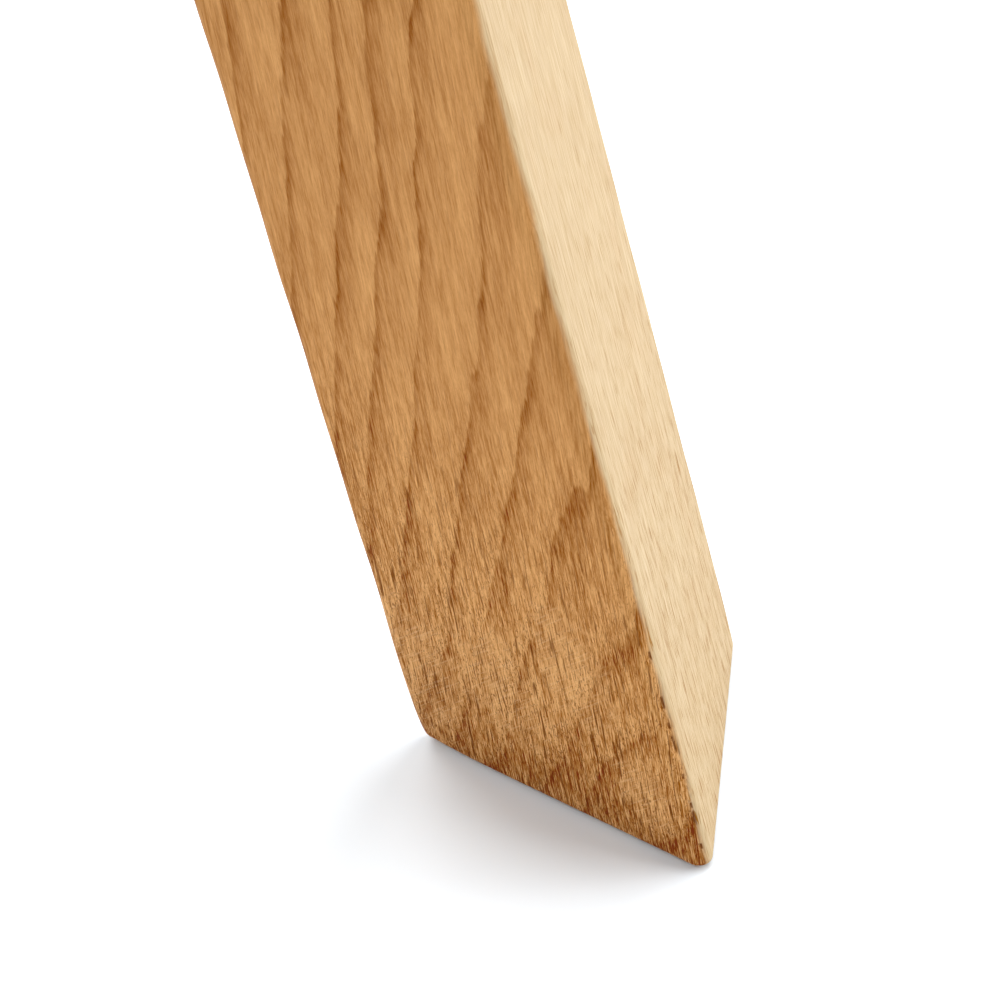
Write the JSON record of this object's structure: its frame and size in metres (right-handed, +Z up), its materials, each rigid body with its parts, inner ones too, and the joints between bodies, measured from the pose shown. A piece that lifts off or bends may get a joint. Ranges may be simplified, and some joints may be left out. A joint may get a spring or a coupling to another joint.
{
  "type": "furniture leg",
  "caption": "Splayed solid-oak bench leg of triangular section with a steel mounting plate and a levelling glide sunk in its level-cut foot.",
  "frame": {"origin": "centre of the mounting plate's top face, where it meets the underside of the seat", "axes": "+Z up, out of the plate towards the seat; +X the way the foot splays outwards; the XZ plane is the leg's plane of symmetry"},
  "size_m": [0.1758, 0.12, 0.42],
  "materials": {
    "oiled_oak": "oiled, satin, with open grain",
    "black_plate": "fine-texture black powder coat",
    "zinc_screws": "bright zinc plate",
    "brass_inserts": "turned brass",
    "zinc_stud": "bright zinc plate",
    "nylon_cup": "moulded, fine matt",
    "spring_ring": "phosphated spring steel",
    "felt_pad": "pressed wool felt"
  },
  "bodies": {
    "leg": {"leg_post": "oiled_oak", "mounting_plate": "black_plate", "plate_screws": "zinc_screws", "leg_inserts": "brass_inserts", "foot_insert": "brass_inserts"},
    "glide": {"glide_base": "nylon_cup", "glide_retainer": "spring_ring", "glide_pad": "felt_pad"},
    "stud": {"glide_stud": "zinc_stud"}
  },
  "joints": [
    {"name": "glide_travel", "type": "slide", "parent": "leg", "child": "glide", "axis": [0, 0, -1], "range_m": [0, 0.008]},
    {"name": "stud_turn", "type": "hinge", "parent": "glide", "child": "stud", "pos_m": [0.09254, 0, -0.4], "axis": [0, 0, -1], "range_deg": [0, 2300]}
  ],
  "couplings": [
    {"joint": "glide_travel", "follows": "stud_turn", "m_per_rad": 0.00019894}
  ]
}
